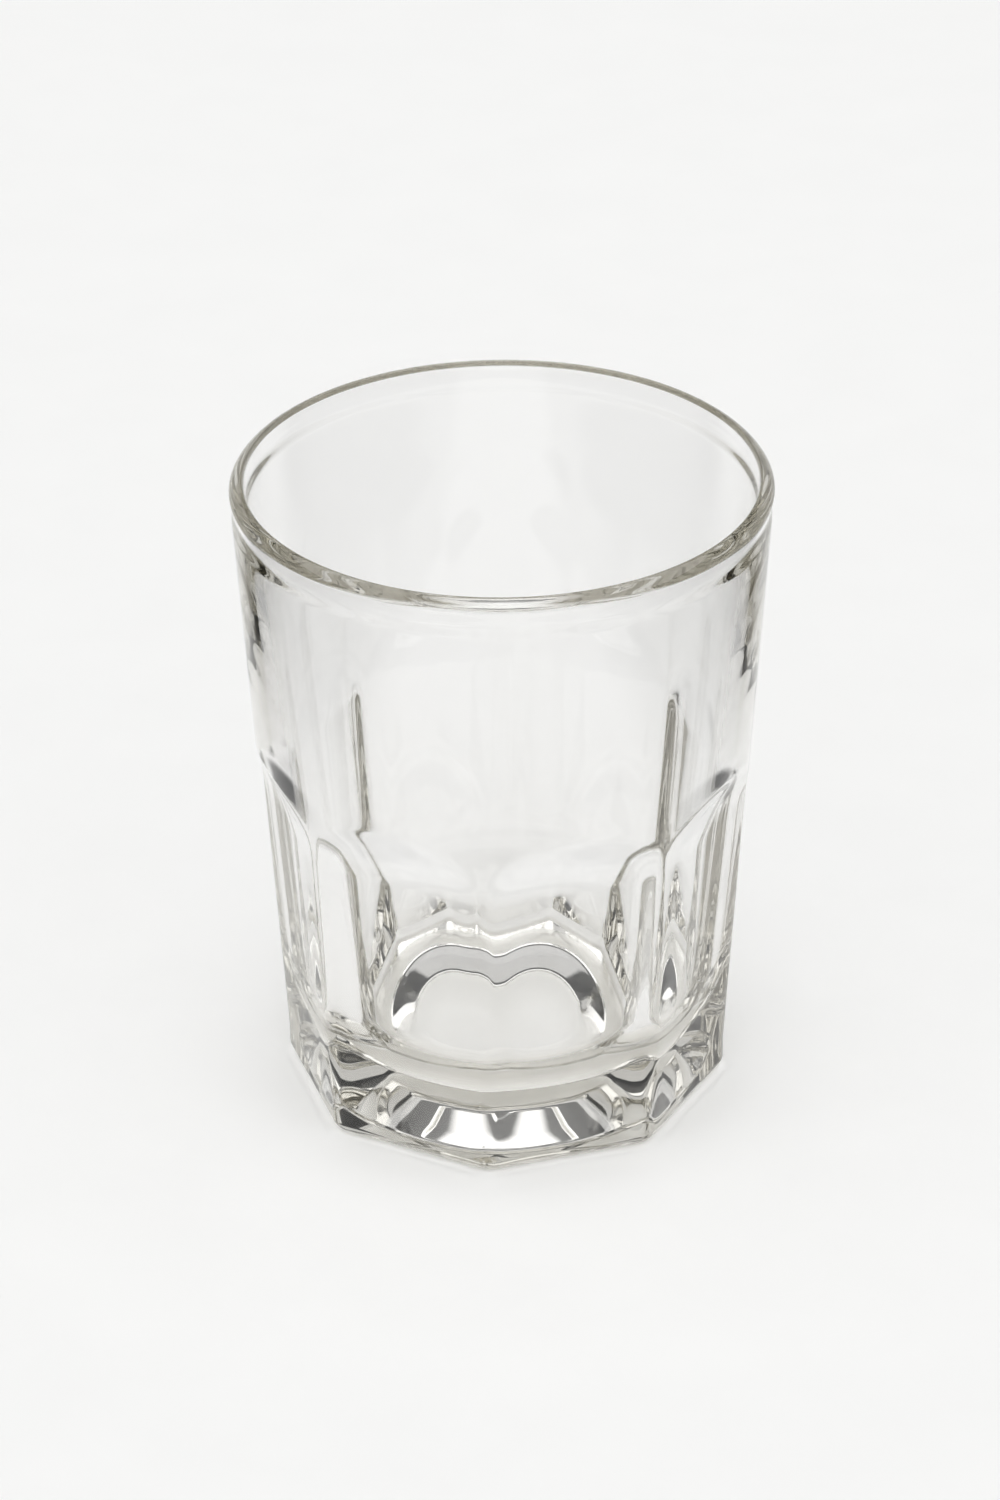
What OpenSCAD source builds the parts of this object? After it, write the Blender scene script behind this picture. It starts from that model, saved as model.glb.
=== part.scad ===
// Rocks glass: a pressed tumbler with a round mouth, a tapered wall, arch-topped flat panels
// and a heavy faceted base. It is one piece of glass, held here as four zones that meet
// face to face: rim, upper_wall, panel_wall and base.
// Millimetres, +Z up. The origin is the middle of the face that the glass stands on,
// and a crease between two panels faces -Y.

/* [Glass] */
// Height from the table to the top of the rim
glass_h = 100; // [88:1:120]
// Outside diameter of the tapered wall at the mouth
mouth_d = 80; // [76:0.5:90]
// Outside diameter of the tapered wall at the table, over the creases
foot_d = 66; // [62:0.5:70]

/* [Inside] */
// Thickness of the glass under the inside floor
floor_t = 9.5; // [8:0.5:14]
// Thickness of the wall at the mouth
lip_wall = 2.5; // [2.2:0.1:3.4]
// Thickness behind a flat at the height of the floor, with the inside wall carried straight down
floor_wall = 3.4; // [3:0.1:6]
// Radius of the large fillet between the inside wall and the floor
floor_fillet = 13.5; // [8:0.5:18]

/* [Rim] */
// Thickness of the rounded bead at the lip
bead_t = 2.8; // [2:0.1:4]
// Height of the rim zone
rim_h = 6; // [4:0.5:10]

/* [Panels] */
// Number of flat panels round the glass
panel_count = 8; // [6:1:10]
// Height at which a flat panel starts to run out to the round wall
spring_h = 48; // [36:1:56]
// Radius of the cove that runs a panel out to the round wall
cove_r = 18.6; // [10:0.2:26]
// Width of the narrow land left along a crease
crease_w = 1.2; // [0.4:0.1:1.2]

/* [Foot] */
// Height of the rounded heel on a flat
heel_h = 2; // [1:0.25:3]
// Radius of the rounded heel
heel_r = 2.4; // [2.25:0.05:8]
// Diameter of the recess under the base, at the table
recess_d = 44; // [36:1:46]
// Diameter of the flat in the middle of the recess
recess_flat_d = 24; // [16:1:30]
// Depth of the recess under the base
recess_depth = 4.4; // [1:0.1:5]

/* [Hidden] */

$fn = 96;
clear_glass = [0.86, 0.89, 0.88, 0.45];

// Cuts run this far past the face that they open
past = 1;

// Outside wall: a cone, radius against height
foot_r = foot_d / 2;
wall_slope = (mouth_d - foot_d) / 2 / glass_h;
function wall_r(z) = foot_r + wall_slope * z;

// Panels: planes that leave a narrow land of the cone at each crease
panel_turn = 360 / panel_count;
land_half = asin(crease_w / 2 / foot_r);
panel_cos = cos(panel_turn / 2 - land_half);
panel_lean = atan(wall_slope * panel_cos);
panel_w = 2 * wall_r(glass_h) * tan(panel_turn / 2);
function panel_x(z) = panel_cos * wall_r(z);

// Inside wall: a steeper cone between the wall behind the flats and the wall at the mouth
floor_r = panel_x(floor_t) - floor_wall;
bore_slope = (mouth_d / 2 - lip_wall - floor_r) / (glass_h - floor_t);
bore_lean = atan(bore_slope);
function bore_r(z) = floor_r + bore_slope * (z - floor_t);

// Cove: a circle that touches the panel line at the springing
cove_x = panel_x(spring_h) + cove_r * cos(panel_lean);
cove_z = spring_h - cove_r * sin(panel_lean);
cove_sag = wall_r(spring_h) - panel_x(spring_h);
cove_rise = sqrt(cove_r * cove_r - pow(cove_r - cove_sag, 2));

// Heights where the zones meet
base_top = floor_t + floor_fillet;
panel_top = spring_h + cove_rise + 2;
rim_bottom = glass_h - rim_h;

// Bead: a circle on the middle of the wall
bead_r = bead_t / 2;
bead_z = glass_h - bead_r;
bead_x = (wall_r(bead_z) + bore_r(bead_z)) / 2;

// Heel: a circle through a point on the flat and a point on the table, as far in as it is high
heel_in_x = panel_x(0) - heel_h;
heel_chord = norm([panel_x(heel_h) - heel_in_x, heel_h]);
heel_chord_turn = atan2(heel_h, panel_x(heel_h) - heel_in_x);
heel_drop = sqrt(heel_r * heel_r - heel_chord * heel_chord / 4);
heel_x = (panel_x(heel_h) + heel_in_x) / 2 - heel_drop * sin(heel_chord_turn);
heel_z = heel_h / 2 + heel_drop * cos(heel_chord_turn);

// Recess under the base: a cone with a flat middle
recess_r = recess_d / 2;
recess_flat_r = recess_flat_d / 2;
recess_slope = (recess_r - recess_flat_r) / recess_depth;

// Full round solid between two heights of the outside cone
module cone_between(z0, z1) {
    translate([0, 0, z0])
        cylinder(h = z1 - z0, r1 = wall_r(z0), r2 = wall_r(z1));
}

// One panel's cut: everything outside its flat, then the cove above it
module panel_cut() {
    rotate([90, 0, 0])
        linear_extrude(height = panel_w, center = true)
            polygon([
                [panel_x(-past), -past],
                [foot_d, -past],
                [foot_d, cove_z],
                [cove_x, cove_z],
                [panel_x(spring_h), spring_h],
            ]);
    translate([cove_x, 0, cove_z])
        rotate([90, 0, 0])
            cylinder(h = panel_w, r = cove_r, center = true);
}

// One panel's cut through the base: everything outside its flat and outside the rounded heel
module base_cut() {
    top = base_top + past;
    rotate([90, 0, 0])
        linear_extrude(height = panel_w, center = true)
            difference() {
                polygon([
                    [heel_in_x, -past],
                    [heel_in_x, 0],
                    [panel_x(heel_h), heel_h],
                    [panel_x(top), top],
                    [foot_d, top],
                    [foot_d, -past],
                ]);
                translate([heel_x, heel_z])
                    circle(r = heel_r);
            }
}

// Repeats a cut on every panel, with a crease between two panels at -Y
module on_panels() {
    for (i = [0 : panel_count - 1])
        rotate(panel_turn * (i + 0.5) - 90)
            children();
}

// Space inside the glass: a cone with a filleted floor
module inside() {
    fillet_x = floor_r + floor_fillet * (tan(bore_lean) - 1 / cos(bore_lean));
    fillet_z = floor_t + floor_fillet;
    touch_x = fillet_x + floor_fillet * cos(bore_lean);
    touch_z = fillet_z - floor_fillet * sin(bore_lean);
    rotate_extrude() {
        polygon([
            [0, floor_t],
            [fillet_x, floor_t],
            [fillet_x, fillet_z],
            [touch_x, touch_z],
            [bore_r(glass_h + past), glass_h + past],
            [0, glass_h + past],
        ]);
        intersection() {
            translate([fillet_x, fillet_z])
                circle(r = floor_fillet);
            polygon([
                [fillet_x, fillet_z],
                [fillet_x, floor_t - past],
                [floor_r + floor_fillet, floor_t - past],
                [floor_r + floor_fillet, touch_z],
                [touch_x, touch_z],
            ]);
        }
    }
}

// Coned recess pressed up under the base
module recess() {
    translate([0, 0, -past])
        cylinder(h = recess_depth + past, r1 = recess_r + recess_slope * past, r2 = recess_flat_r);
}

// Rounded lip on a short length of plain wall
module rim() {
    color(clear_glass)
        rotate_extrude() {
            polygon([
                [bore_r(rim_bottom), rim_bottom],
                [wall_r(rim_bottom), rim_bottom],
                [wall_r(bead_z), bead_z],
                [bore_r(bead_z), bead_z],
            ]);
            translate([bead_x, bead_z])
                circle(r = bead_r);
        }
}

// Plain round wall between the arches and the rim
module upper_wall() {
    color(clear_glass)
        difference() {
            cone_between(panel_top, rim_bottom);
            inside();
        }
}

// Wall with the flat panels, from the base to the tops of the arches
module panel_wall() {
    color(clear_glass)
        difference() {
            cone_between(base_top, panel_top);
            inside();
            on_panels() panel_cut();
        }
}

// Thick bottom with the filleted inside floor, the heel and the recess under it
module base() {
    color(clear_glass)
        difference() {
            cone_between(0, base_top);
            inside();
            on_panels() base_cut();
            recess();
        }
}

rim();
upper_wall();
panel_wall();
base();
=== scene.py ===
"""Rocks glass: the looks of a clear pressed tumbler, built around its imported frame.

The glass is one seamless piece, so it is one closed surface here: a grid that runs from the middle
of the underside, round the heel, up the panels and the plain wall, over the rim, and down the
inside to the middle of the floor.
"""

import logging
import math
from dataclasses import dataclass
from enum import Enum

import bpy
import numpy as np
from mathutils import Matrix

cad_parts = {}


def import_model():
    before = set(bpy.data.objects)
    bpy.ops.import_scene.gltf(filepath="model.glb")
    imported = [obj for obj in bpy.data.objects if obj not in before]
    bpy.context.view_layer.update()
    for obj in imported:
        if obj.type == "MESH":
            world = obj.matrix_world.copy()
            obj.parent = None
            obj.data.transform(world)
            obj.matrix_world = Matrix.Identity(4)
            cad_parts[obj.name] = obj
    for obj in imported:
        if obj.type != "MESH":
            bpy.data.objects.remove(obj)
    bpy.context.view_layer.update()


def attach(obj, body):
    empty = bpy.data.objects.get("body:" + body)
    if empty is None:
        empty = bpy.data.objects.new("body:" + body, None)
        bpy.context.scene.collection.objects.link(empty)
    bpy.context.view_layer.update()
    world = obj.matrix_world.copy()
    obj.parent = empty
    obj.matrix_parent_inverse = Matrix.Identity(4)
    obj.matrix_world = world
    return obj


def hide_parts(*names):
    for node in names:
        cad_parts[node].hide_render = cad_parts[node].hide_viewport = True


LOG = logging.getLogger("rocks_glass")
MM = 0.001
ZONES = ("rim", "upper_wall", "panel_wall", "base")
# Light runs far inside the rim and the wall, and this lets it fade by the glass's own tint
LIGHT_BOUNCES = 128
SOFT_STEP = {"interpolation_type": "SMOOTHSTEP"}

Colour = tuple[float, float, float, float]
NodeInput = bpy.types.NodeSocket | float | tuple[float, ...]
Numbers = np.ndarray | float
Rows = list[tuple[np.ndarray, np.ndarray]]


class Maths(Enum):
    """Sums that the materials and the light ask of the maths nodes."""

    ABSOLUTE = "ABSOLUTE"
    MULTIPLY = "MULTIPLY"
    MAXIMUM = "MAXIMUM"
    DOT_PRODUCT = "DOT_PRODUCT"


def linear(hex_colour: str) -> Colour:
    """Turns an sRGB hex colour into linear values with full alpha.

    Args:
        hex_colour: six hex digits after a hash sign.

    Returns:
        Red, green, blue and alpha, each from 0 to 1.
    """
    parts = [int(hex_colour[i : i + 2], 16) / 255 for i in (1, 3, 5)]
    lit = [p / 12.92 if p <= 0.04045 else ((p + 0.055) / 1.055) ** 2.4 for p in parts]
    return (lit[0], lit[1], lit[2], 1.0)


def bare_tree(owner: bpy.types.Material | bpy.types.World) -> bpy.types.NodeTree:
    """Turns on the nodes of a material or a world, and empties them.

    Args:
        owner: the material or world.

    Returns:
        Its node tree, with no nodes in it.
    """
    owner.use_nodes = True
    owner.node_tree.nodes.clear()
    return owner.node_tree


def add_node(
    tree: bpy.types.NodeTree,
    kind: str,
    settings: dict[str, str] | None = None,
    **inputs: NodeInput,
) -> bpy.types.Node:
    """Adds a node, sets its options, and fills or links its inputs.

    Args:
        tree: the node tree to add to.
        kind: the node's type name.
        settings: options of the node itself, by name.
        **inputs: a value or an output socket to link, by the input's name with _ for spaces, or by
            the letter n and the input's number.

    Returns:
        The new node.
    """
    node = tree.nodes.new(kind)
    for name, value in (settings or {}).items():
        setattr(node, name, value)
    for name, value in inputs.items():
        key = int(name[1:]) if name[0] == "n" and name[1:].isdigit() else name.replace("_", " ")
        if isinstance(value, bpy.types.NodeSocket):
            tree.links.new(value, node.inputs[key])
        else:
            node.inputs[key].default_value = value
    return node


def mesh_object(name: str, points: np.ndarray, faces: list[list[int]]) -> bpy.types.Object:
    """Puts points and faces into a smooth-shaded mesh object at the origin.

    Args:
        name: the piece's name.
        points: vertex places in metres, one row each.
        faces: lists of vertex numbers, counter-clockwise seen from outside.

    Returns:
        The object, linked to the scene.
    """
    mesh = bpy.data.meshes.new(name)
    mesh.from_pydata(points, [], faces)
    mesh.validate()
    mesh.shade_smooth()
    obj = bpy.data.objects.new(name, mesh)
    bpy.context.scene.collection.objects.link(obj)
    return obj


def smooth_min(a: Numbers, b: Numbers, width: float) -> Numbers:
    """The lesser of two surfaces, with their meeting edge rounded over.

    Formula: the plain minimum, less a quarter of width times the square of how far the two are
    inside that width of each other.

    Args:
        a: first surface.
        b: second surface.
        width: difference below which the edge is rounded.

    Returns:
        The rounded minimum.
    """
    near = np.maximum(width - np.abs(a - b), 0.0) / width
    return np.minimum(a, b) - near * near * width / 4


@dataclass(frozen=True)
class PressedGlass:
    """Pressed, fire-polished soda-lime glass: clear, bright-edged, faintly warm grey in its depth.

    Pressing leaves the surface very slightly wavy, which stirs what shows through it.

    Attributes:
        name: the material's name.
        ior: index of refraction, typical of soda-lime glass.
        roughness: none, as on any fire-polished surface.
        tint: colour of the surface itself.
        depth_colour: colour that light takes on in the depth of the glass.
        depth_density: how fast it does so, per metre.
        wave_mm: length of a wave, of which seven go to the height of the glass.
        wave_deep_mm: depth of a wave.
    """

    name: str = "pressed_soda_lime_glass"
    ior: float = 1.52
    roughness: float = 0.0
    tint: str = "#FFFFFF"
    depth_colour: str = "#CFCCC1"
    depth_density: float = 17.0
    wave_mm: float = 100.0 / 7
    wave_deep_mm: float = 0.01

    def material(self) -> bpy.types.Material:
        """Makes the material.

        Returns:
            A glass material with the waviness of a pressing, and the tint of its depth in the volume.
        """
        mat = bpy.data.materials.new(self.name)
        tree = bare_tree(mat)
        where = add_node(tree, "ShaderNodeTexCoord")
        waves = add_node(
            tree,
            "ShaderNodeTexNoise",
            Vector=where.outputs["Object"],
            Scale=1 / (self.wave_mm * MM),
            Detail=0.0,
        )
        wavy = add_node(
            tree,
            "ShaderNodeBump",
            Strength=1.0,
            Distance=self.wave_deep_mm * MM,
            Height=waves.outputs[0],
        )
        body = add_node(
            tree,
            "ShaderNodeBsdfPrincipled",
            Normal=wavy.outputs[0],
            Base_Color=linear(self.tint),
            Roughness=self.roughness,
            IOR=self.ior,
            Transmission_Weight=1.0,
        )
        depth = add_node(
            tree,
            "ShaderNodeVolumeAbsorption",
            Color=linear(self.depth_colour),
            Density=self.depth_density,
        )
        add_node(tree, "ShaderNodeOutputMaterial", Surface=body.outputs[0], Volume=depth.outputs[0])
        return mat


@dataclass(frozen=True)
class TumblerSizes:
    """Sizes of the pressing, in millimetres where they are lengths.

    Attributes:
        height: from the table to the top of the lip.
        mouth_r: radius of the outside cone at the mouth.
        foot_r: radius of the outside cone at the table.
        floor_t: thickness of the glass under the inside floor.
        floor_r: radius of the inside cone, carried straight down to the floor.
        bore_r: radius of the inside cone at the mouth.
        floor_fillet: radius between the inside wall and the floor.
        lip_share: share of the lip's thickness that its outer shoulder takes.
        lip_out: height of the outer shoulder.
        lip_in: height of the inner corner.
        lip_power: power of the shoulder's ellipse, 2 for a true one and less for a flatter one.
        neck_deep: depth of the groove round the outside, under the lip.
        neck_low: middle of that groove, below the top of the lip.
        neck_half: half the height of that groove.
        panels: number of flat panels.
        spring_h: height at which a panel starts to run out to the round wall.
        cove_r: radius of the cove that runs it out.
        crease_round: radius of the creases between the panels.
        arch_round: difference between the panel and the wall below which their edge is rounded.
        heel_r: radius between a panel and the table.
        recess_r: radius of the recess under the base, at the table.
        recess_flat_r: radius of the flat in the middle of the recess.
        recess_depth: depth of the recess.
        recess_edge: difference in height below which the recess's edges are rounded.
    """

    height: float = 100.0
    mouth_r: float = 40.0
    foot_r: float = 33.0
    floor_t: float = 9.5
    floor_r: float = 28.0
    bore_r: float = 37.8
    floor_fillet: float = 13.5
    lip_share: float = 0.85
    lip_out: float = 1.7
    lip_in: float = 0.4
    lip_power: float = 1.5
    neck_deep: float = 0.25
    neck_low: float = 4.0
    neck_half: float = 2.3
    panels: int = 8
    spring_h: float = 48.0
    cove_r: float = 18.6
    crease_round: float = 3.4
    arch_round: float = 0.9
    heel_r: float = 2.4
    recess_r: float = 22.0
    recess_flat_r: float = 12.0
    recess_depth: float = 4.4
    recess_edge: float = 0.4


@dataclass(frozen=True)
class GridRows:
    """How the grid is spread over the glass: counts of rows, and bands in millimetres.

    Attributes:
        columns: columns across one panel.
        crowding: power by which the columns crowd towards the creases.
        arch_guesses: times that the guess of the arch's height is repeated.
        pole_r: radius of the first row of the underside.
        flat_band: reach of the close rows on each side of the recess's flat.
        ring_band: reach of the close rows on each side of the recess's edge at the table.
        recess_plain: rows over each plain stretch of the recess.
        recess_edge: rows over each edge of the recess.
        ring_shares: places of the rows on the ring that stands on the table.
        heel: rows round the heel.
        panel_span: first and last place of the rows on the panel, as shares of its height.
        panel: rows on the panel below the arch's band.
        band_below: reach of the arch's band below the arch.
        band_above: reach of the arch's band above the arch.
        arch_band: reach of the closest rows on each side of the arch.
        cove: rows of the band below the closest rows.
        arch: closest rows.
        over_arch: rows of the band above the closest rows.
        plain_span: first and last place of the rows on the plain wall, as shares of its height.
        plain: rows on the plain wall.
        neck: rows through the groove under the lip.
        lip: rows round each of the lip's two corners.
        bore_start: start of the inside wall, as a multiple of the lip's inner corner.
        bore: rows down the inside wall.
        fillet: rows round the fillet of the floor.
        floor_span: first and last place of the rows on the floor, as shares of its radius.
        floor: rows on the floor.
    """

    columns: int = 56
    crowding: float = 1.5
    arch_guesses: int = 12
    pole_r: float = 1.0
    flat_band: float = 1.2
    ring_band: float = 1.0
    recess_plain: int = 6
    recess_edge: int = 12
    ring_shares: tuple[float, ...] = (0.33, 0.66, 0.9)
    heel: int = 12
    panel_span: tuple[float, float] = (0.08, 0.94)
    panel: int = 12
    band_below: float = 10.5
    band_above: float = 5.0
    arch_band: float = 1.2
    cove: int = 20
    arch: int = 18
    over_arch: int = 6
    plain_span: tuple[float, float] = (0.1, 0.95)
    plain: int = 10
    neck: int = 18
    lip: int = 20
    bore_start: float = 1.5
    bore: int = 10
    fillet: int = 16
    floor_span: tuple[float, float] = (0.94, 0.06)
    floor: int = 12


@dataclass
class Tumbler:
    """The whole pressing as one closed surface."""

    sizes: TumblerSizes
    grid: GridRows

    def wall(self, z: Numbers) -> Numbers:
        """Radius of the outside cone at a height: a straight taper from foot to mouth."""
        s = self.sizes
        return s.foot_r + (s.mouth_r - s.foot_r) * z / s.height

    def bore(self, z: Numbers) -> Numbers:
        """Radius of the inside cone at a height: a straight taper from floor to mouth."""
        s = self.sizes
        return s.floor_r + (s.bore_r - s.floor_r) * (z - s.floor_t) / (s.height - s.floor_t)

    @property
    def half_turn(self) -> float:
        """Half the angle that one panel takes, in radians."""
        return math.pi / self.sizes.panels

    @property
    def lean(self) -> float:
        """Outward lean of a panel from upright, in radians."""
        s = self.sizes
        return math.atan((s.mouth_r - s.foot_r) / s.height * math.cos(self.half_turn))

    def flat(self, z: Numbers) -> Numbers:
        """Distance of a panel's flat from the axis, such that the rounded creases touch the cone."""
        share = math.cos(self.half_turn)
        return self.wall(z) * share + self.sizes.crease_round * (1 - share)

    @property
    def cove_centre(self) -> tuple[float, float]:
        """Centre of the cove, whose circle touches the flat at the springing.

        Returns:
            Its distance from the axis, and its height.
        """
        s = self.sizes
        centre_x = self.flat(s.spring_h) + s.cove_r * math.cos(self.lean)
        centre_z = s.spring_h - s.cove_r * math.sin(self.lean)
        return centre_x, centre_z

    def panel(self, z: np.ndarray) -> np.ndarray:
        """Distance of the panel's surface from the axis, at the middle of the panel.

        Formula: the flat up to the springing, then a circle that touches the flat there and
        carries the surface outwards as it rises.

        Args:
            z: heights.

        Returns:
            Distances, one for each height.
        """
        s = self.sizes
        centre_x, centre_z = self.cove_centre
        rise = np.clip(z - centre_z, 0.0, s.cove_r)
        cove = centre_x - np.sqrt(s.cove_r**2 - rise**2)
        return np.where(z < s.spring_h, self.flat(z), cove)

    def section(self, off: np.ndarray, apothem: np.ndarray) -> np.ndarray:
        """Radius of a polygon with rounded corners, by angle from the middle of a side.

        Formula: the flat side is its distance over the cosine of the angle; within a corner the
        radius is that of a small circle on the corner's bisector which touches both sides.

        Args:
            off: angle from the middle of the nearest side.
            apothem: distance of the sides from the axis.

        Returns:
            Radii.
        """
        r = self.sizes.crease_round
        turn = self.half_turn
        side = apothem / np.cos(off)
        middle = (apothem - r) / math.cos(turn)
        swing = turn - np.abs(off)
        under = np.maximum(r**2 - (middle * np.sin(swing)) ** 2, 0.0)
        corner = middle * np.cos(swing) + np.sqrt(under)
        touch = np.arctan2((apothem - r) * math.tan(turn), apothem)
        return np.where(np.abs(off) > touch, corner, side)

    def outside(self, off: np.ndarray, z: np.ndarray) -> np.ndarray:
        """Radius of the outside wall.

        Formula: the panelled body or the cone, whichever is less, with their edge rounded, less a
        shallow groove under the lip whose depth is a squared cosine of the height.

        Args:
            off: angle from the middle of the nearest panel.
            z: height.

        Returns:
            Radii.
        """
        s = self.sizes
        from_neck = np.clip((z - s.height + s.neck_low) / s.neck_half, -1.0, 1.0)
        neck = s.neck_deep * np.cos(from_neck * math.pi / 2) ** 2
        return smooth_min(self.section(off, self.panel(z)), self.wall(z), s.arch_round) - neck

    def arch(self, off: np.ndarray) -> np.ndarray:
        """Height of the arch over a panel, by angle from the panel's middle.

        Formula: where the cove's circle meets the cone, found by repeating a guess: the cone's
        radius at the last height gives the circle's next height.

        Args:
            off: angle from the middle of the nearest panel.

        Returns:
            Heights.
        """
        s = self.sizes
        centre_x, centre_z = self.cove_centre
        z = np.full_like(off, s.spring_h)
        for _ in range(self.grid.arch_guesses):
            gap = centre_x - self.wall(z) * np.cos(off)
            z = centre_z + np.sqrt(np.maximum(s.cove_r**2 - gap**2, 0.0))
        return np.maximum(z, s.spring_h)

    def angles(self) -> tuple[np.ndarray, np.ndarray]:
        """Angles of the grid's columns, closer together near the creases.

        Formula: even steps across a half panel, raised to a power as counted from the crease.

        Returns:
            The angle round the axis from -Y, and the angle from the nearest panel's middle.
        """
        m = self.grid.columns
        step = (np.arange(m) / m) * 2 - 1
        off = np.sign(step) * (1 - (1 - np.abs(step)) ** self.grid.crowding) * self.half_turn
        middles = (np.arange(self.sizes.panels) + 0.5) * 2 * self.half_turn
        turn = (middles[:, None] + off[None, :]).ravel()
        return turn, np.tile(off, self.sizes.panels)

    def recess(self, r: float) -> float:
        """Height of the recess under the base at a radius.

        Formula: a flat middle or a sloped side, whichever is lower, and never below the table,
        with both edges rounded.

        Args:
            r: distance from the axis.

        Returns:
            Height above the table.
        """
        s = self.sizes
        side = (s.recess_r - r) * s.recess_depth / (s.recess_r - s.recess_flat_r)
        top = smooth_min(side, s.recess_depth, s.recess_edge)
        return -smooth_min(-top, 0.0, s.recess_edge)

    def underside_rows(self, off: np.ndarray) -> Rows:
        """Rows of the underside and heel, from near the middle out to the foot of the panels.

        Formula: the recess, a flat ring that changes from round to panelled, and an arc that
        touches the table and the panel.

        Args:
            off: angle of each column from the middle of its panel.

        Returns:
            Radius and height arrays, a pair for each row.
        """
        s, g = self.sizes, self.grid
        one = np.ones_like(off)
        inner, outer = s.recess_flat_r, s.recess_r
        radii = np.concatenate([
            np.linspace(g.pole_r, inner - g.flat_band, g.recess_plain, endpoint=False),
            np.linspace(inner - g.flat_band, inner + g.flat_band, g.recess_edge, endpoint=False),
            np.linspace(inner + g.flat_band, outer - g.ring_band, g.recess_plain, endpoint=False),
            np.linspace(outer - g.ring_band, outer + g.ring_band, g.recess_edge),
        ])
        rows = [(one * r, one * self.recess(r)) for r in radii]
        heel_x = self.flat(0.0) + s.heel_r * (math.tan(self.lean) - 1 / math.cos(self.lean))
        for share in g.ring_shares:
            r = (1 - share) * (outer + g.ring_band) + share * self.section(off, heel_x * one)
            rows.append((r, 0 * one))
        for turn in np.linspace(0.0, math.pi / 2 - self.lean, g.heel):
            apothem = heel_x + s.heel_r * math.sin(turn)
            rows.append((self.section(off, apothem * one), one * s.heel_r * (1 - math.cos(turn))))
        return rows

    def wall_rows(self, off: np.ndarray) -> Rows:
        """Rows of the outside wall, from the heel to the lip, which follow the arches.

        Formula: heights run evenly from the heel to a band round the arch, follow the arch through
        that band, level out again on the plain wall, and run level through the groove.

        Args:
            off: angle of each column from the middle of its panel.

        Returns:
            Radius and height arrays, a pair for each row.
        """
        s, g = self.sizes, self.grid
        arch = self.arch(off)
        heel_top = s.heel_r * (1 - math.sin(self.lean))
        band_low = arch - g.band_below
        band_high = arch + g.band_above
        neck_foot = s.height - s.neck_low - s.neck_half
        wall_top = s.height - s.lip_out
        steps = np.concatenate([
            np.linspace(-g.band_below, -g.arch_band, g.cove, endpoint=False),
            np.linspace(-g.arch_band, g.arch_band, g.arch, endpoint=False),
            np.linspace(g.arch_band, g.band_above, g.over_arch),
        ])
        panel = [heel_top + (band_low - heel_top) * k for k in np.linspace(*g.panel_span, g.panel)]
        band = [arch + step for step in steps]
        plain = [band_high + (neck_foot - band_high) * k for k in np.linspace(*g.plain_span, g.plain)]
        neck = [z + 0 * off for z in np.linspace(neck_foot, wall_top, g.neck, endpoint=False)]
        return [(self.outside(off, z), z) for z in panel + band + plain + neck]

    def rim_rows(self, off: np.ndarray) -> Rows:
        """Rows of the lip, from the outside wall over the top to the inside.

        Formula: a large quarter of a flattened ellipse for the outer shoulder, and a small quarter
        of a true ellipse for the inner corner, which meet at the top.

        Args:
            off: angle of each column from the middle of its panel.

        Returns:
            Radius and height arrays, a pair for each row.
        """
        s = self.sizes
        one = np.ones_like(off)
        outer = self.wall(s.height - s.lip_out)
        inner = self.bore(s.height - s.lip_in)
        top = outer - (outer - inner) * s.lip_share
        turns = np.linspace(0.0, math.pi / 2, self.grid.lip)
        near = np.cos(turns) ** (2 / s.lip_power)
        up = np.sin(turns) ** (2 / s.lip_power)
        shoulder = [(top + (outer - top) * a, s.height - s.lip_out * (1 - u)) for a, u in zip(near, up)]
        corner = [
            (top - (top - inner) * math.cos(turn), s.height - s.lip_in * (1 - math.sin(turn)))
            for turn in turns
        ]
        # The corner runs from the inside up, so it is turned round, less the top that both share
        return [(one * r, one * z) for r, z in shoulder + corner[-2::-1]]

    def inside_rows(self, off: np.ndarray) -> Rows:
        """Rows of the inside: a straight taper down, a fillet, and the floor.

        Args:
            off: angle of each column from the middle of its panel.

        Returns:
            Radius and height arrays, a pair for each row.
        """
        s, g = self.sizes, self.grid
        one = np.ones_like(off)
        lean = math.atan((s.bore_r - s.floor_r) / (s.height - s.floor_t))
        fillet_x = s.floor_r + s.floor_fillet * (math.tan(lean) - 1 / math.cos(lean))
        fillet_z = s.floor_t + s.floor_fillet
        top = s.height - s.lip_in * g.bore_start
        bottom = fillet_z - s.floor_fillet * math.sin(lean)
        rows = [(one * self.bore(z), one * z) for z in np.linspace(top, bottom, g.bore, endpoint=False)]
        for turn in np.linspace(-lean, -math.pi / 2, g.fillet):
            rows.append((
                one * (fillet_x + s.floor_fillet * math.cos(turn)),
                one * (fillet_z + s.floor_fillet * math.sin(turn)),
            ))
        for share in np.linspace(*g.floor_span, g.floor):
            rows.append((one * fillet_x * share, one * s.floor_t))
        return rows

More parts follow.
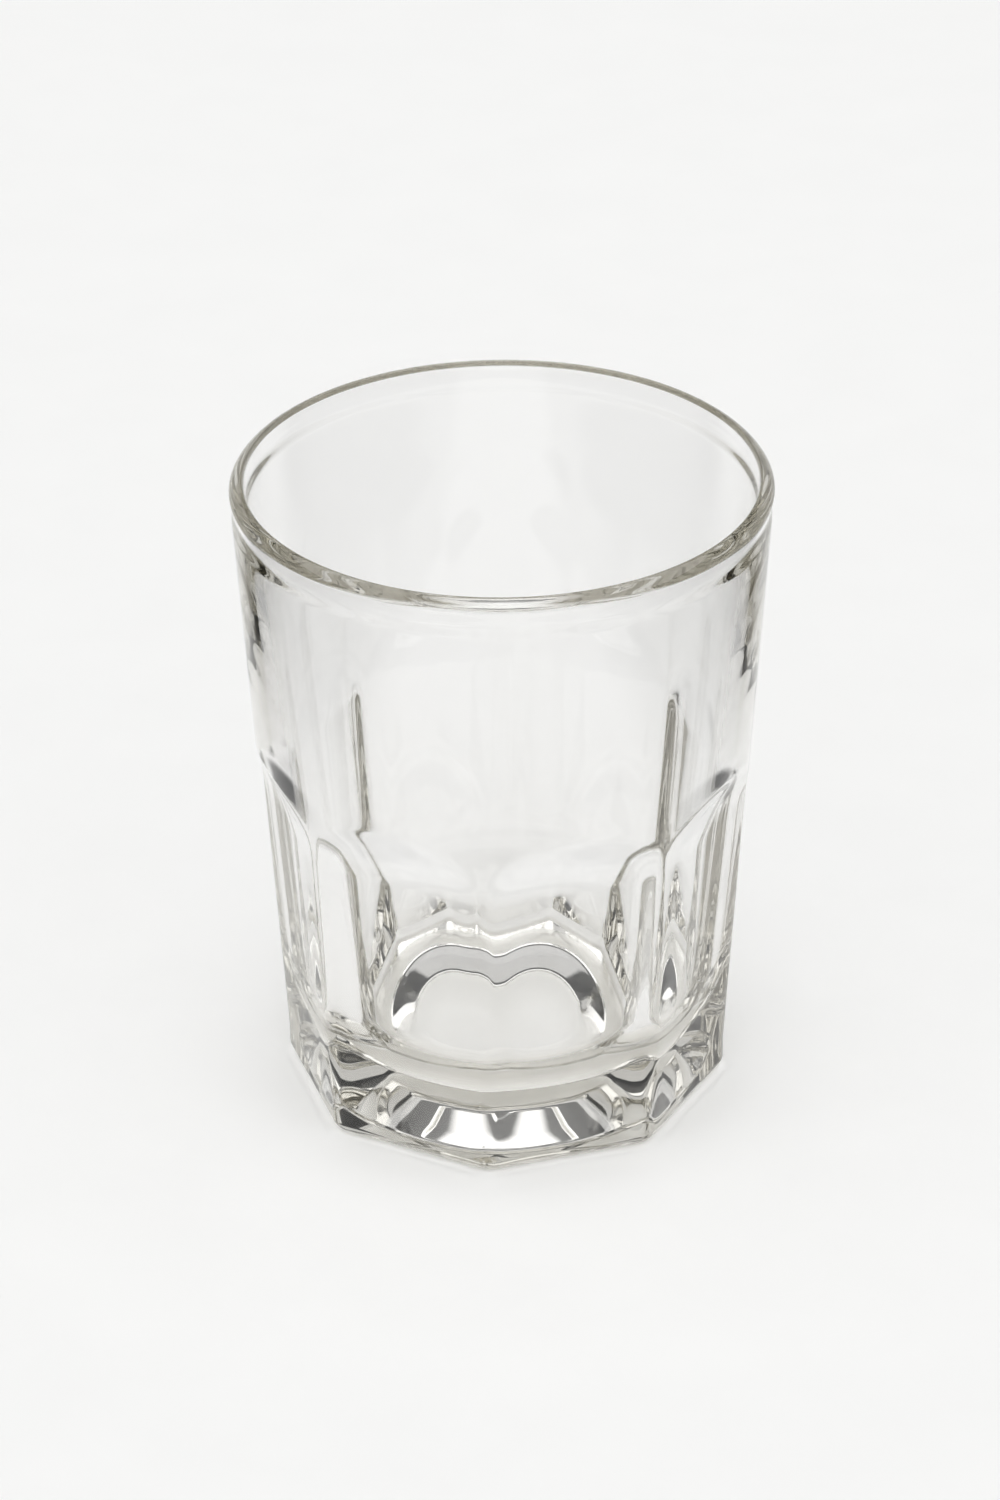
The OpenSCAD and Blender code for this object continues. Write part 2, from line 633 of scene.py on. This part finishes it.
    def build(self) -> bpy.types.Object:
        """Builds the closed surface as one mesh.

        Formula: each row is a ring of points at its radius and height; neighbouring rings are
        joined by four-sided faces, and each end closes to a single point on the axis.

        Returns:
            The glass.
        """
        s = self.sizes
        turn, off = self.angles()
        rows = self.underside_rows(off) + self.wall_rows(off)
        rows += self.rim_rows(off) + self.inside_rows(off)
        radius = np.array([r for r, _ in rows])
        height = np.array([z for _, z in rows])
        rings = np.stack([radius * np.sin(turn), -radius * np.cos(turn), height], -1)
        count = rings.shape[1]
        low_pole = rings.shape[0] * count
        high_pole = low_pole + 1
        points = np.vstack([rings.reshape(-1, 3), [[0, 0, s.recess_depth], [0, 0, s.floor_t]]]) * MM
        number = np.arange(low_pole).reshape(-1, count)
        after = np.roll(number, -1, axis=1)
        quads = np.stack([number[:-1], after[:-1], after[1:], number[1:]], -1).reshape(-1, 4)
        first = np.stack([np.full(count, low_pole), after[0], number[0]], -1)
        last = np.stack([np.full(count, high_pole), number[-1], after[-1]], -1)
        return mesh_object("rocks_glass", points, quads.tolist() + first.tolist() + last.tolist())

    def dress(self, glass: bpy.types.Object, finish: PressedGlass) -> None:
        """Gives the glass its finish and its place in the frame.

        Args:
            glass: the built glass.
            finish: what it is made of.
        """
        glass.data.materials.append(finish.material())
        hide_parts(*ZONES)
        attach(glass, "root")


@dataclass
class PaleTable:
    """Pale matt paper under the glass, which fills the view, with dark table to its left and right.

    Attributes:
        half_width: half the side of the whole square, in metres.
        gap_mm: gap under the glass, which keeps the two surfaces apart.
        paper: colour of the paper.
        mottle: colour of its faint blotches.
        mottle_mm: size of a blotch, of which three go to 50 mm.
        rough: roughness of the paper.
        dark: colour of the table beside the paper.
        dark_from: distance to the left and right at which the table starts to show, in metres.
        dark_to: distance to the left and right at which it shows in full.
        back_to: distance behind the glass up to which the table shows in full.
        back_end: distance behind the glass at which the table ends.
    """

    half_width: float = 2.0
    gap_mm: float = 0.05
    paper: str = "#F4F4F3"
    mottle: str = "#F1F1F0"
    mottle_mm: float = 50.0 / 3
    rough: float = 0.6
    dark: str = "#202020"
    dark_from: float = 0.093
    dark_to: float = 0.134
    back_to: float = 0.100
    back_end: float = 0.160

    def material(self, turn: float) -> bpy.types.Material:
        """Makes the paper's material: matt, faintly mottled, dark beyond its two long edges.

        Args:
            turn: turn of the paper about the upright axis, in radians.

        Returns:
            The material.
        """
        mat = bpy.data.materials.new("matt_white_paper")
        tree = bare_tree(mat)
        where = add_node(tree, "ShaderNodeTexCoord")
        square = add_node(
            tree,
            "ShaderNodeVectorRotate",
            {"rotation_type": "Z_AXIS"},
            Vector=where.outputs["Object"],
            Angle=-turn,
        )
        parts = add_node(tree, "ShaderNodeSeparateXYZ", Vector=square.outputs[0])
        side = add_node(
            tree,
            "ShaderNodeMath",
            {"operation": Maths.ABSOLUTE.value},
            n0=parts.outputs["X"],
        )
        out_of_view = add_node(
            tree,
            "ShaderNodeMapRange",
            SOFT_STEP,
            Value=side.outputs[0],
            From_Min=self.dark_from,
            From_Max=self.dark_to,
        )
        beside = add_node(
            tree,
            "ShaderNodeMapRange",
            SOFT_STEP,
            Value=parts.outputs["Y"],
            From_Min=self.back_end,
            From_Max=self.back_to,
        )
        both = add_node(
            tree,
            "ShaderNodeMath",
            {"operation": Maths.MULTIPLY.value},
            n0=out_of_view.outputs[0],
            n1=beside.outputs[0],
        )
        grain = add_node(
            tree,
            "ShaderNodeTexNoise",
            Vector=where.outputs["Object"],
            Scale=1 / (self.mottle_mm * MM),
        )
        sheet = add_node(
            tree,
            "ShaderNodeMix",
            {"data_type": "RGBA"},
            n0=grain.outputs[0],
            n6=linear(self.paper),
            n7=linear(self.mottle),
        )
        colour = add_node(
            tree,
            "ShaderNodeMix",
            {"data_type": "RGBA"},
            n0=both.outputs[0],
            n6=sheet.outputs[2],
            n7=linear(self.dark),
        )
        matt = add_node(
            tree,
            "ShaderNodeBsdfPrincipled",
            Base_Color=colour.outputs[2],
            Roughness=self.rough,
        )
        add_node(tree, "ShaderNodeOutputMaterial", Surface=matt.outputs[0])
        return mat

    def build(self, turn: float) -> bpy.types.Object:
        """Builds the flat table under the glass.

        Args:
            turn: turn of the paper about the upright axis, in radians.

        Returns:
            The table.
        """
        w = self.half_width
        z = -self.gap_mm * MM
        points = np.array([[-w, -w, z], [w, -w, z], [w, w, z], [-w, w, z]])
        table = mesh_object("pale_table", points, [[0, 1, 2, 3]])
        table.data.materials.append(self.material(turn))
        return table


@dataclass
class StudioLight:
    """A broad soft light overhead, a pale sweep behind, and a dim room round the rest.

    Attributes:
        room: level of the dim room.
        cap_back: how far the overhead light reaches to the back, in degrees from straight up.
        cap_tilt: how far its middle leans to the front, in degrees.
        cap_soft: width of its soft edge, in degrees.
        cap_level: level of the overhead light.
        sweep_top: height of the sweep's top edge, as the sine of its angle above the table.
        sweep_soft: half the width of that edge.
        back_from: how far to the back a direction points where the sweep starts, from 0 to 1.
        back_to: how far to the back a direction points where the sweep is in full.
        back_level: level of the sweep.
    """

    room: float = 0.03
    cap_back: float = 41.0
    cap_tilt: float = 14.0
    cap_soft: float = 2.4
    cap_level: float = 1.92
    sweep_top: float = 0.43
    sweep_soft: float = 0.02
    back_from: float = 0.2
    back_to: float = 0.5
    back_level: float = 0.88

    def build(self) -> None:
        """Sets the world's light by direction.

        Formula: the brightest of the overhead light, the sweep and the room.
        """
        world = bpy.data.worlds.new("studio")
        bpy.context.scene.world = world
        tree = bare_tree(world)
        where = add_node(tree, "ShaderNodeTexCoord")
        parts = add_node(tree, "ShaderNodeSeparateXYZ", Vector=where.outputs["Generated"])
        tilt = math.radians(self.cap_tilt)
        edge = math.radians(self.cap_back) + tilt
        soft = math.radians(self.cap_soft) / 2
        above = add_node(
            tree,
            "ShaderNodeVectorMath",
            {"operation": Maths.DOT_PRODUCT.value},
            n0=where.outputs["Generated"],
            n1=(0.0, -math.sin(tilt), math.cos(tilt)),
        )
        cap = add_node(
            tree,
            "ShaderNodeMapRange",
            SOFT_STEP,
            Value=above.outputs["Value"],
            From_Min=math.cos(edge + soft),
            From_Max=math.cos(edge - soft),
            To_Max=self.cap_level,
        )
        wide = add_node(
            tree,
            "ShaderNodeMapRange",
            SOFT_STEP,
            Value=parts.outputs["Y"],
            From_Min=self.back_from,
            From_Max=self.back_to,
            To_Max=self.back_level,
        )
        low = add_node(
            tree,
            "ShaderNodeMapRange",
            SOFT_STEP,
            Value=parts.outputs["Z"],
            From_Min=self.sweep_top + self.sweep_soft,
            From_Max=self.sweep_top - self.sweep_soft,
        )
        sweep = add_node(
            tree,
            "ShaderNodeMath",
            {"operation": Maths.MULTIPLY.value},
            n0=wide.outputs[0],
            n1=low.outputs[0],
        )
        lit = add_node(
            tree,
            "ShaderNodeMath",
            {"operation": Maths.MAXIMUM.value},
            n0=cap.outputs[0],
            n1=sweep.outputs[0],
        )
        level = add_node(
            tree,
            "ShaderNodeMath",
            {"operation": Maths.MAXIMUM.value},
            n0=lit.outputs[0],
            n1=self.room,
        )
        light = add_node(tree, "ShaderNodeBackground", Strength=level.outputs[0])
        add_node(tree, "ShaderNodeOutputWorld", Surface=light.outputs[0])


@dataclass
class ProductCamera:
    """Camera at the photograph's place: long lens, looking down at the glass.

    Attributes:
        turn: turn of the whole view about the upright axis, in radians.
        pitch: how far it looks down, in radians.
        yaw: how far it looks to its right, in radians.
        roll: how far it leans, in radians.
        place_mm: its place before the turn.
        lens_mm: focal length.
        sensor_mm: width of the sensor.
        clip: nearest and farthest distance that it shows, in metres.
    """

    turn: float = math.radians(4.893)
    pitch: float = 0.51091
    yaw: float = -0.00405
    roll: float = -0.00808
    place_mm: tuple[float, float, float] = (3.124, -910.68, 564.48)
    lens_mm: float = 168.0
    sensor_mm: float = 36.0
    clip: tuple[float, float] = (0.05, 20.0)

    def build(self) -> None:
        """Creates the camera and makes it the scene's."""
        forward = np.array([
            math.sin(self.yaw) * math.cos(self.pitch),
            math.cos(self.yaw) * math.cos(self.pitch),
            -math.sin(self.pitch),
        ])
        right = np.array([math.cos(self.yaw), -math.sin(self.yaw), 0.0])
        up = np.cross(right, forward)
        across = right * math.cos(self.roll) + up * math.sin(self.roll)
        upright = -right * math.sin(self.roll) + up * math.cos(self.roll)
        place = Matrix.Identity(4)
        for row in range(3):
            place[row][0] = across[row]
            place[row][1] = upright[row]
            place[row][2] = -forward[row]
            place[row][3] = self.place_mm[row] * MM
        data = bpy.data.cameras.new("product_camera")
        data.lens = self.lens_mm
        data.sensor_width = self.sensor_mm
        data.clip_start, data.clip_end = self.clip
        camera = bpy.data.objects.new("product_camera", data)
        camera.matrix_world = Matrix.Rotation(self.turn, 4, "Z") @ place
        bpy.context.scene.collection.objects.link(camera)
        bpy.context.scene.camera = camera


def main() -> None:
    logging.basicConfig(level=logging.INFO)
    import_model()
    scene = bpy.context.scene
    scene.view_settings.view_transform = "Standard"
    scene.cycles.max_bounces = LIGHT_BOUNCES
    scene.cycles.transmission_bounces = LIGHT_BOUNCES
    scene.cycles.glossy_bounces = LIGHT_BOUNCES
    scene.cycles.blur_glossy = 0.0
    tumbler = Tumbler(TumblerSizes(), GridRows())
    glass = tumbler.build()
    tumbler.dress(glass, PressedGlass())
    LOG.info("%s: %d faces", glass.name, len(glass.data.polygons))
    camera = ProductCamera()
    table = PaleTable().build(camera.turn)
    LOG.info("%s: %d faces", table.name, len(table.data.polygons))
    StudioLight().build()
    camera.build()


if __name__ == "__main__":
    main()
